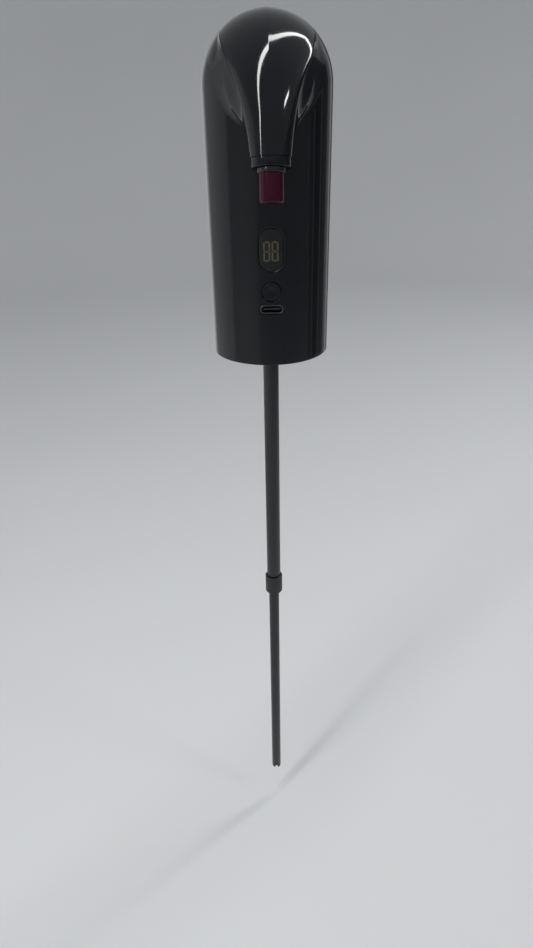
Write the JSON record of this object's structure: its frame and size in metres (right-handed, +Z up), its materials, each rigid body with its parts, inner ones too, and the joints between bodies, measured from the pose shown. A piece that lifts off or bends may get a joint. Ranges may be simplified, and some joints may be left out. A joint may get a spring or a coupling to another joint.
{
  "type": "electric wine aerator",
  "caption": "Glossy black pump head with a curved beak, display panel, ribbed stopper and sliding dip tube; it stands on a bottle's mouth and pours aerated wine.",
  "frame": {"origin": "middle of the head's bottom rim, on the axis of the stopper and of the bottle's neck", "axes": "+Z up along the head and the dip tube, the beak points to -Y"},
  "size_m": [0.048, 0.0669, 0.3895],
  "materials": {
    "black_gloss_abs": "high-gloss moulded ABS",
    "red_outlet_plastic": "translucent dark red moulding",
    "smoked_acrylic": "polished smoked acrylic",
    "display_black": "matt moulding",
    "display_lit": "diffusing light bars",
    "nickel_steel": "nickel-plated sheet steel",
    "black_nylon": "fine-textured moulding",
    "natural_acetal": "as-moulded acetal",
    "green_board": "solder-masked glass-epoxy",
    "screw_steel": "zinc-plated steel",
    "dark_silicone": "moulded silicone rubber",
    "grey_silicone": "moulded silicone rubber",
    "clear_silicone": "extruded silicone hose",
    "grey_abs": "as-moulded ABS",
    "cell_sleeve": "shrink-sleeved lithium cell",
    "red_wire": "insulated wire",
    "black_wire": "insulated wire",
    "motor_steel": "drawn steel can",
    "ferrite": "sintered magnet",
    "rotor_copper": "enamelled winding on laminations"
  },
  "bodies": {
    "head": {"body_shell": "black_gloss_abs", "hood_cover": "black_gloss_abs", "spout_end_ring": "black_gloss_abs", "nozzle_collar": "black_gloss_abs", "outlet_tip": "red_outlet_plastic", "display_window": "smoked_acrylic", "display_module": "display_black", "display_digits": "display_lit", "usb_receptacle": "nickel_steel", "usb_tongue": "black_nylon", "button_switch": "black_nylon", "base_cover": "black_nylon", "neck_sleeve": "black_nylon", "deck_plate": "black_nylon", "upper_dip_tube": "black_nylon", "tube_gland": "black_nylon", "aerator_insert": "natural_acetal", "valve_plate": "natural_acetal", "motor_end_cap": "natural_acetal", "control_board": "green_board", "board_screws": "screw_steel", "base_screws": "screw_steel", "chassis_screws": "screw_steel", "bracket_screws": "screw_steel", "pump_screws": "screw_steel", "bottle_stopper": "dark_silicone", "mouth_washer": "dark_silicone", "diaphragm": "dark_silicone", "manifold_gasket": "grey_silicone", "gland_seal": "grey_silicone", "air_hose": "clear_silicone", "wine_hose": "clear_silicone", "manifold": "grey_abs", "inner_chassis": "grey_abs", "top_bracket": "grey_abs", "pump_body": "grey_abs", "pump_head": "grey_abs", "battery_cell": "cell_sleeve", "battery_leads": "red_wire", "motor_leads": "black_wire", "motor_can": "motor_steel", "motor_magnets": "ferrite"},
    "motor_rotor": {"motor_rotor": "rotor_copper", "eccentric": "natural_acetal", "crank_pin": "screw_steel"},
    "wobble_plate": {"wobble_plate": "natural_acetal"},
    "power_button": {"power_button": "black_gloss_abs"},
    "switch_plunger": {"switch_plunger": "natural_acetal"},
    "lower_dip_tube": {"lower_dip_tube": "black_nylon"}
  },
  "joints": [
    {"name": "rotor_spin", "type": "hinge", "parent": "head", "child": "motor_rotor", "pos_m": [0.0104, 0.0035, 0.0644], "axis": [0, 0, 1], "continuous": true},
    {"name": "wobble_turn", "type": "hinge", "parent": "motor_rotor", "child": "wobble_plate", "pos_m": [0.0104, 0.0035, 0.0644], "axis": [0.0872, 0, 0.9962], "continuous": true},
    {"name": "button_press", "type": "slide", "parent": "head", "child": "power_button", "axis": [0, 1, 0], "range_m": [0, 0.0005], "stiffness_N_per_m": 1500},
    {"name": "plunger_press", "type": "slide", "parent": "head", "child": "switch_plunger", "axis": [0, 1, 0], "range_m": [0, 0.0005]},
    {"name": "tube_slide", "type": "slide", "parent": "head", "child": "lower_dip_tube", "axis": [0, 0, 1], "range_m": [0, 0.1]}
  ],
  "couplings": [
    {"joint": "wobble_turn", "follows": "rotor_spin", "ratio": -1},
    {"joint": "plunger_press", "follows": "button_press", "ratio": 1}
  ]
}
